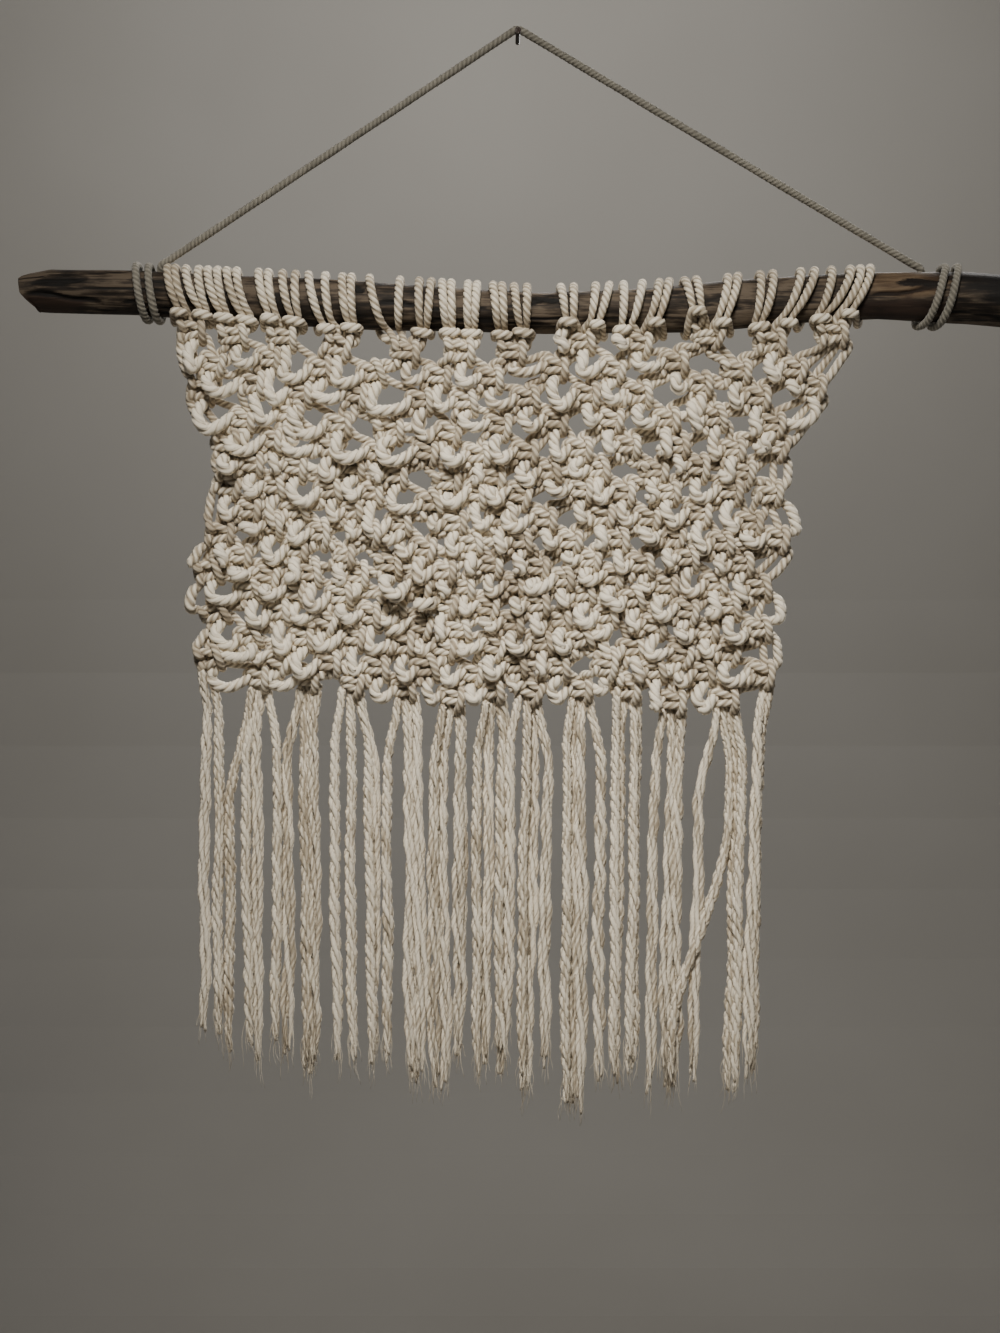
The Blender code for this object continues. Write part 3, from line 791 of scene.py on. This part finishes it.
class Look:
    """A new material, and short ways to add procedural nodes to it."""

    def __init__(self, name):
        self.material = bpy.data.materials.new(name)
        self.material.use_nodes = True
        self.nodes = self.material.node_tree.nodes
        self.link = self.material.node_tree.links.new
        self.shader = self.nodes["Principled BSDF"].inputs
        self.spot = self.node("TexCoord").outputs["Object"]

    def fill(self, slot, value):
        """A slot gets a value, or a link from another node's output."""
        if isinstance(value, bpy.types.NodeSocket):
            self.link(value, slot)
        else:
            slot.default_value = value

    def node(self, kind, **inputs):
        """A new node with some of its inputs filled; an underscore stands for a space."""
        node = self.nodes.new("ShaderNode" + kind)
        for key, value in inputs.items():
            self.fill(node.inputs[key.replace("_", " ")], value)
        return node

    def maths(self, operation, *values):
        node = self.node("Math")
        node.operation = operation
        for slot, value in zip(node.inputs, values):
            self.fill(slot, value)
        return node.outputs[0]

    def add_up(self, total, *parts):
        """A number or an output, and each part's output times its weight."""
        for output, weight in parts:
            total = self.maths("MULTIPLY_ADD", output, weight, total)
        return total

    def attribute(self, name):
        node = self.node("Attribute")
        node.attribute_name = name
        return node.outputs["Fac"]

    def ramp(self, factor, stops):
        """A colour ramp of (position, colour) stops."""
        node = self.node("ValToRGB", Fac=factor)
        elements = node.color_ramp.elements
        while len(elements) < len(stops):
            elements.new(1.0)
        for element, (position, colour) in zip(elements, stops):
            element.position = position
            element.color = (*colour, 1.0)
        return node.outputs["Color"]

    def noise(self, vector, scale, detail=2.0, stretch=(1.0, 1.0, 1.0), roughness=0.5):
        """A noise texture at a stretched place."""
        place = self.node("Mapping", Vector=vector, Scale=stretch).outputs["Vector"]
        node = self.node("TexNoise", Vector=place, Scale=scale, Detail=detail, Roughness=roughness)
        return node.outputs["Fac"]

    def bump(self, height, strength, distance):
        """The surface's fine relief, distance in mm."""
        node = self.node("Bump", Height=height, Strength=strength, Distance=distance * MM)
        self.link(node.outputs["Normal"], self.shader["Normal"])

    def finished(self, **inputs):
        """The material, with its colour linked and its uniform values on the shader's own sockets."""
        for key, value in inputs.items():
            self.fill(self.shader[key.replace("_", " ")], value)
        return self.material

    def patch(self, centre, size, ragged=60.0):
        """1 at centre, in mm, falling to 0 at size from it on each axis, with an uneven edge."""
        place = self.node("Mapping", Vector=self.spot,
                          Location=[-c / s for c, s in zip(centre, size)],
                          Scale=[1.0 / (s * MM) for s in size])
        ball = self.node("TexGradient", Vector=place.outputs["Vector"])
        ball.gradient_type = "SPHERICAL"
        ball = ball.outputs["Fac"]
        rough = self.noise(self.spot, ragged, 3.0, (1.0, 3.0, 3.0))
        spread = self.node("MapRange", Value=self.add_up(ball, (rough, 0.8)),
                           From_Min=0.52, From_Max=0.78)
        held = self.maths("GREATER_THAN", ball, 0.001)
        return self.maths("MULTIPLY", spread.outputs["Result"], held)

    def mixed(self, factor, below, above):
        """Below, with the colour above laid over it by factor; above is a colour or an output."""
        node = self.node("Mix")
        node.data_type = "RGBA"
        above = (*above, 1.0) if isinstance(above, tuple) else above
        for key, value in (("Factor", factor), ("A", below), ("B", above)):
            self.fill(node.inputs[key], value)
        return node.outputs["Result"]


def cotton(name):
    """Soft undyed cotton: fibres along the plies, painted shade in the grooves between them, mottling,
    a per-point tone that also carries painted shade and light, and a fuzzy sheen.
    """
    look = Look(name)
    light, middle, dark = COTTONS[name]
    place = look.node("UVMap")
    place.uv_map = "along"
    place = place.outputs["UV"]
    apart = look.node("SeparateXYZ", Vector=place)
    fibres = look.noise(place, 1.0, 4.0, (2.2, 30.0, 1.0), 0.65)
    yarns = look.noise(place, 1.0, 1.0, (0.8, 13.0, 1.0))
    mottle = look.noise(look.spot, 55.0)
    # Painted shade: the colour darkens towards each groove between two plies, where shade falls.
    third = look.maths("FRACT", look.maths("MULTIPLY", apart.outputs["Y"], 3.0))
    lobe = look.maths("ABSOLUTE", look.maths("SUBTRACT", third, 0.5))
    groove = look.maths("MULTIPLY", look.maths("SQRT", lobe), 0.54)
    # The attribute adds random tone and, on the cords, painted shade on tight knots and painted light
    # on slack curls.
    total = look.add_up(groove, (fibres, 0.42), (yarns, 0.22), (mottle, 0.34),
                          (look.attribute("tone_and_shade"), 0.36))
    colour = look.ramp(total, ((0.52, dark), (0.86, middle), (1.0, light)))
    look.bump(look.add_up(fibres, (yarns, 0.8)), 0.75, 0.5)
    return look.finished(Base_Color=colour, Roughness=0.95, Sheen_Weight=0.18,
                           Sheen_Roughness=0.6, Specular_IOR_Level=0.15)


def driftwood():
    """Weathered brown wood: long grain, cracks, a bare tan patch, dark and reddish stretches."""
    look = Look("driftwood")
    grain = look.noise(look.spot, 1.0, 6.0, (30.0, 520.0, 520.0), 0.68)
    streaks = look.noise(look.spot, 1.0, 3.0, (16.0, 90.0, 90.0))
    mottle = look.noise(look.spot, 1.0, 4.0, (55.0, 110.0, 110.0))
    total = look.add_up(-0.11, (streaks, 0.55), (grain, 0.8), (mottle, 0.6),
                          (look.attribute("crack"), -0.45))
    colour = look.ramp(total, WOOD)
    for centre, size, stops in WOOD_PATCHES:
        colour = look.mixed(look.patch(centre, size), colour, look.ramp(total, stops))
    for centre, size in DARK_SPOTS:
        colour = look.mixed(look.patch(centre, size, 260.0), colour, SPOT_COLOUR)
    rough = look.node("MapRange", Value=grain, To_Min=0.55, To_Max=0.9)
    look.bump(look.add_up(grain, (streaks, 0.6)), 0.8, 0.7)
    return look.finished(Base_Color=colour, Roughness=rough.outputs["Result"],
                           Specular_IOR_Level=0.3)


def steel():
    """The nail's dull dark steel, browned in spots."""
    look = Look("nail_steel")
    rust = look.noise(look.spot, 900.0, 3.0)
    colour = look.ramp(rust, ((0.42, (0.042, 0.036, 0.033)), (0.62, (0.026, 0.014, 0.010))))
    rough = look.ramp(rust, ((0.4, (0.35, 0.35, 0.35)), (0.65, (0.8, 0.8, 0.8))))
    return look.finished(Base_Color=colour, Roughness=rough, Metallic=0.45,
                           Specular_IOR_Level=0.25)


# ---- The stage ----

VIEW_MIDDLE = (-10.35, -367.0)
CAMERA_DISTANCE = 1150.0
FRAME_HEIGHT = 766.5

# The floor and its backdrop, and the lights, in metres
FLOOR_HALF_WIDTH = 7.0
FLOOR_FRONT = -4.0
FLOOR_Z = -1.6
CURVE_START = 2.4
CURVE_RADIUS = 1.4
BACKDROP_TOP = 4.0
PAPER = ((0.3, (0.53, 0.51, 0.475)), (0.7, (0.56, 0.54, 0.505)))
LIGHTS = (  # name, place, aim, size, power, colour, spread
    ("key", (-0.1, -0.95, 0.4), (0.03, 0.0, -0.45), 0.30, 1.9, (1.0, 0.96, 0.885), 52.0),
    ("fill", (1.5, -1.3, -0.1), (0.0, 0.0, -0.35), 1.6, 0.3, (1.0, 0.97, 0.93), 180.0),
    ("back", (0.6, 1.7, 0.7), (0.0, 0.0, -0.35), 1.4, 34.0, (1.0, 0.98, 0.95), 120.0),
    ("backdrop", (0.0, 1.6, 1.7), (0.0, 3.8, 0.5), 1.2, 20.0, (1.0, 0.975, 0.93), 150.0),
)
WORLD_COLOUR = (0.66, 0.635, 0.595, 1.0)
WORLD_STRENGTH = 0.09


def add_camera():
    """Square on to the net, with the photograph's framing at the net's plane."""
    data = bpy.data.cameras.new("camera")
    data.sensor_width = 36.0
    data.lens = data.sensor_width * CAMERA_DISTANCE / FRAME_HEIGHT
    data.clip_end = 50.0
    camera = add_object("camera", data)
    camera.location = Vector((VIEW_MIDDLE[0], NET_Y_TOP - CAMERA_DISTANCE, VIEW_MIDDLE[1])) * MM
    camera.rotation_euler = (math.pi / 2.0, 0.0, 0.0)
    bpy.context.scene.camera = camera


def add_light(name, place, aim, size, power, colour, spread):
    """A square light, aimed at a point; the spread is in degrees."""
    data = bpy.data.lights.new(name, "AREA")
    data.shape = "SQUARE"
    data.size = size
    data.energy = power
    data.color = colour
    data.spread = math.radians(spread)
    light = add_object(name, data)
    light.location = place
    light.rotation_euler = (Vector(aim) - Vector(place)).to_track_quat("-Z", "Y").to_euler()


def add_stage():
    """A pale floor that curves up into a far backdrop, and soft light."""
    profile = [(FLOOR_FRONT, FLOOR_Z)]
    profile += [(CURVE_START + CURVE_RADIUS * math.sin(a), FLOOR_Z + CURVE_RADIUS * (1.0 - math.cos(a)))
                for a in np.linspace(0.0, math.pi / 2.0, 13)]
    profile.append((CURVE_START + CURVE_RADIUS, BACKDROP_TOP))
    verts = [(x, y, z) for y, z in profile for x in (-FLOOR_HALF_WIDTH, FLOOR_HALF_WIDTH)]
    faces = [(2 * n, 2 * n + 1, 2 * n + 3, 2 * n + 2) for n in range(len(profile) - 1)]
    mesh = bpy.data.meshes.new("floor")
    mesh.from_pydata(verts, [], faces)
    look = Look("studio_paper")
    paper = look.ramp(look.noise(look.spot, 2.0), PAPER)
    mesh.materials.append(look.finished(Base_Color=paper, Roughness=0.9))
    add_object("floor", mesh)
    world = bpy.data.worlds.new("studio")
    world.use_nodes = True
    sky = world.node_tree.nodes["Background"].inputs
    sky["Color"].default_value = WORLD_COLOUR
    sky["Strength"].default_value = WORLD_STRENGTH
    bpy.context.scene.world = world
    for light in LIGHTS:
        add_light(*light)


# ---- The pieces ----

def build_hanger(material):
    """The hanger: a thinner, tighter and greyer cord than the others."""
    route = smooth_route(hanger_route(), MESH_STEP)
    tubes = Tubes()
    add_cord(tubes, route, HANGER_RADIUS / (1.0 + CORD_SWELL * HANGER_TIGHTNESS), HANGER_LAY)
    piece = tubes.build("hanger_cord_twisted", material)
    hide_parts("hanger_cord")


def stick_relief(x, angle, reach):
    """How far the bark stands out at a place, in mm, and how much of a crack is there."""
    y = math.cos(angle) * reach
    z = math.sin(angle) * reach
    grain = mathutils_noise((x * 0.020, y * 0.42, z * 0.42)) * 0.34
    lumps = mathutils_noise((x * 0.016 + 7.0, y * 0.05, z * 0.05)) * 0.9
    split = abs(mathutils_noise((x * 0.009 + 3.0, y * 0.13, z * 0.13 + 5.0)))
    where = mathutils_noise((x * 0.022 + 11.0, y * 0.06, z * 0.06))
    crack = max(0.0, 1.0 - split / 0.055) * min(1.0, max(0.0, 0.25 + where * 3.0))
    for start_x, end_x, start_z, end_z in STICK_CRACKS:
        share = (x - start_x) / (end_x - start_x)
        if 0.0 < share < 1.0 and y > 0.0:
            line = start_z + (end_z - start_z) * share + 0.5 * math.sin(x / 4.0)
            beside = abs(column(STICK_SECTIONS, x, 1) + z - line)
            deep = 1.9 * max(0.0, 1.0 - beside / CRACK_WIDTH)
            crack = max(crack, deep * min(1.0, 5.0 * share * (1.0 - share)))
    return grain + lumps - CRACK_DEPTH * crack, min(1.0, crack)


def broken_end(x, angle):
    """The left end is broken off raggedly, with its lower edge chamfered away."""
    chip = mathutils_noise((math.cos(angle) * 1.7, math.sin(angle) * 1.7, 0.3)) * 0.9
    least = column(BROKEN_END, math.sin(angle), 1) + chip
    return max(x, x + (least - x) * 0.93)


def build_stick(material):
    """The driftwood stick, with its grain, cracks, knots and broken ends."""
    xs = np.arange(STICK_SECTIONS[0, 0], STICK_SECTIONS[-1, 0], STICK_STEP)
    angles = np.arange(STICK_AROUND) * math.tau / STICK_AROUND
    verts = []
    cracks = []

    def ring(x, shrink, jag):
        for angle in angles:
            reach = max(stick_radius(x, angle), BROKEN_END_RADIUS)
            relief, crack = stick_relief(x, angle, reach)
            chip = mathutils_noise((math.cos(angle) * 2.2 + jag, math.sin(angle) * 2.2, x))
            point = around_stick(x, angle, max(0.3, (reach + relief) * shrink))
            verts.append((broken_end(point[0] + jag * (0.4 + chip), angle), point[1], point[2]))
            cracks.append(min(1.0, crack + (0.5 if shrink < 0.9 else 0.0)))

    for shrink in END_RINGS:
        ring(xs[0], shrink, END_JAG)
    for x in xs:
        ring(x, 1.0, 0.0)
    for shrink in END_RINGS[::-1]:
        ring(xs[-1], shrink, -END_JAG)
    verts = np.array(verts)
    rings = len(verts) // STICK_AROUND
    base = np.arange(rings - 1)[:, None] * STICK_AROUND
    here = np.arange(STICK_AROUND)[None, :]
    after = (here + 1) % STICK_AROUND
    beyond = base + STICK_AROUND
    quads = np.stack((base + here, beyond + here, beyond + after, base + after), -1)
    caps = [np.arange(STICK_AROUND), ((rings - 1) * STICK_AROUND + np.arange(STICK_AROUND))[::-1]]
    loops = np.concatenate([quads.reshape(-1)] + caps)
    sizes = np.concatenate((np.full(quads.size // 4, 4), (STICK_AROUND, STICK_AROUND)))
    piece = mesh_object("driftwood_weathered", verts, loops, sizes, material)
    add_attribute(piece, "crack", cracks)
    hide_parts("driftwood_stick")


def build_cords(material):
    """The 24 doubled cords: lark's heads and net, in groups; each group's mesh hides the knotted panel
    and the lark's heads of its cords.
    """
    rows = knot_places()
    strands = strand_routes(rows)
    routes = []
    for number in range(len(LARKS_HEADS)):
        left = strands[2 * number][::-1]
        right = strands[2 * number + 1]
        routes.append(smooth_route(np.concatenate((left, head_route(number), right)), RELAX_STEP))
    settled = relax(routes, RELAX_ROUNDS)
    settled = [smooth_route(cord, MESH_STEP) for cord in settled]
    for start in range(0, len(settled), CORDS_A_PIECE):
        tubes = Tubes()
        for cord in settled[start:start + CORDS_A_PIECE]:
            add_cord(tubes, cord)
        piece = tubes.build(f"knotted_cords_{start // CORDS_A_PIECE + 1}", material)
        heads = [f"larks_head_{n + 1:02d}" for n in range(start, start + CORDS_A_PIECE)]
        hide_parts("knotted_panel", *heads)
    return settled


def fringe_strand(tubes, start, bundle, place, depth, slant):
    """One strand below the net: three crimped plies that untwist on the way down, then fray.

    Place is -1 to 1 across its bundle, and slant is how far it drifts on the way, along x and y.
    """
    top_x, tip_x, width, tip_z = bundle
    tip_z = tip_z - 7.0 + RANDOM.beta(1.2, 2.4) * 17.0
    count = int((start[2] - tip_z) / FRINGE_STEP)
    z = np.linspace(start[2], tip_z, count)
    down = start[2] - z
    share = down / down[-1]
    hang_x = top_x + place * max(0.0, width / 2.0 - 2.2) + normal(0.0, 0.4)
    ease = ease_in_out(np.clip(down / (15.0 + 4.0 * abs(hang_x - start[0])), 0.0, 1.0))
    phase = any_angle(6)
    x = start[0] + (hang_x - start[0]) * ease + (tip_x - top_x) * share
    x = x + (0.9 * np.sin(down / 34.0 + phase[0]) + 0.5 * np.sin(down / 13.0 + phase[1])) * share ** 0.5
    across = ease_in_out(rise(share, 0.3, 0.55))
    x = x + slant[0] * across
    rest_y = FRINGE_Y[0] + (FRINGE_Y[1] - FRINGE_Y[0]) * share + depth
    rest_y = rest_y + 0.7 * np.sin(down / 41.0 + phase[2]) + slant[1] * across
    y = start[1] + (rest_y - start[1]) * ease
    kept_twist = RANDOM.random() < KEPT_TWIST
    lay_end = uniform(20.0, 32.0) if kept_twist else uniform(45.0, 140.0)
    lay = FRINGE_LAY + (lay_end - FRINGE_LAY) * rise(share, 0.0, 0.45) ** 1.3
    turn = phase[3] + np.cumsum(math.tau * FRINGE_STEP / lay)
    opened = (0.25 if kept_twist else uniform(0.35, 1.0)) * rise(share, 0.0, 0.6)
    wave = (0.15 + 0.22 * rise(share, 0.0, 0.15)) * (1.0 - 0.25 * opened)
    out = (PLY_OFFSET + 0.75 * opened) * (1.0 - 0.5 * rise(share, 0.84, 0.16))
    for ply in range(3):
        angle = turn + ply * math.tau / 3.0
        crimp = math.tau * down / uniform(13.0, 21.0) + any_angle()
        stray = 0.6 * opened * np.sin(down / uniform(17.0, 30.0) + any_angle())
        points = np.stack((
            x + np.cos(angle) * out * (1.0 + 0.15 * opened) + np.cos(crimp) * wave + stray,
            y + np.sin(angle) * out * 0.9 + np.sin(crimp) * wave * 0.8,
            z,
        ), axis=1)
        last = max(12, count - int(RANDOM.integers(0, 5)))
        points = points[:last]
        fine = np.arange(last) / (last - 1.0)
        radius = PLY_RADIUS[0] + (PLY_RADIUS[1] - PLY_RADIUS[0]) * rise(fine, 0.0, 0.3)
        radius = radius * (1.0 - 0.6 * rise(fine, 0.88, 0.12))
        radius = radius * (1.0 + 0.07 * np.sin(down[:last] / 4.1 + any_angle()))
        roll = any_angle() + math.tau * down[:last] / 19.0
        tone_and_shade = uniform(0.3, 0.9)
        tubes.add(points, radius, round_section(PLY_SIDES), roll, tone_and_shade)
        for _ in range(FRINGE_HAIRS):
            fray(tubes, points, tone_and_shade)


def fray(tubes, ply, tone_and_shade):
    """One fine yarn that leaves a ply near its end and hangs on below it."""
    first = int(len(ply) * uniform(0.86, 0.95))
    length = (ply[first, 2] - ply[-1, 2]) + uniform(-2.0, 13.0) * (0.35 + RANDOM.random())
    share = np.linspace(0.0, 1.0, HAIR_POINTS)
    drift = normal(0.0, 1.0, 2) * (1.9, 1.2)
    phase = any_angle(2)
    follow = np.minimum(first + share * (len(ply) - 1 - first), len(ply) - 1).astype(int)
    x = ply[follow, 0] + drift[0] * share ** 0.8 + 0.35 * np.sin(share * 11.0 + phase[0]) * share
    y = ply[follow, 1] + drift[1] * share ** 0.8 + 0.35 * np.sin(share * 9.0 + phase[1]) * share
    points = np.stack((x, y, ply[first, 2] - length * share), axis=1)
    tubes.add(points, HAIR_RADIUS * (1.0 - 0.75 * share), round_section(3), 0.0, tone_and_shade)


def share_out(places):
    """The bundle that each strand hangs in: as little sideways as fits, and none left empty."""
    best = {0: (0.0, ())}
    for centre, _, width, _ in FRINGE_BUNDLES:
        usual = width / STRAND_SPACE
        longer = {}
        for start, (cost, counts) in best.items():
            for count in range(max(1, math.floor(usual)), math.ceil(usual) + 2):
                end = start + count
                if end > len(places):
                    continue
                total = cost + np.sum((places[start:end] - centre) ** 2)
                if end not in longer or total < longer[end][0]:
                    longer[end] = (total, counts + (count,))
        best = longer
    return np.repeat(np.arange(len(FRINGE_BUNDLES)), best[len(places)][1])


def build_fringe(settled, material):
    """The fringe, in groups of strands; each group's mesh hides the fringe part."""
    ends = np.array([end[:3] for cord in settled for end in (cord[3], cord[-4])])
    order = np.argsort(ends[:, 0], kind="stable")
    bundle_of = np.zeros(len(ends), int)
    bundle_of[order] = share_out(ends[order, 0])
    for first in range(0, len(ends), STRANDS_A_PIECE):
        tubes = Tubes()
        for strand in range(first, first + STRANDS_A_PIECE):
            members = np.nonzero(bundle_of == bundle_of[strand])[0]
            rank = np.sum(ends[members, 0] < ends[strand, 0])
            place = 2.0 * rank / (len(members) - 1) - 1.0 if len(members) > 1 else 0.0
            depth = (1.8 if rank % 2 else -1.2) + normal(0.0, 0.6)
            slant = SLANT if strand == SLANTING_STRAND else (0.0, 0.0)
            fringe_strand(tubes, ends[strand], FRINGE_BUNDLES[bundle_of[strand]], place, depth, slant)
        piece = tubes.build(f"fringe_strands_{first // STRANDS_A_PIECE + 1}", material)
        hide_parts("fringe")


add_camera()
add_stage()
build_hanger(cotton("hanger_cotton"))
build_stick(driftwood())
build_fringe(build_cords(cotton("cotton")), cotton("fringe_cotton"))
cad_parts["nail"].data.materials[0] = steel()
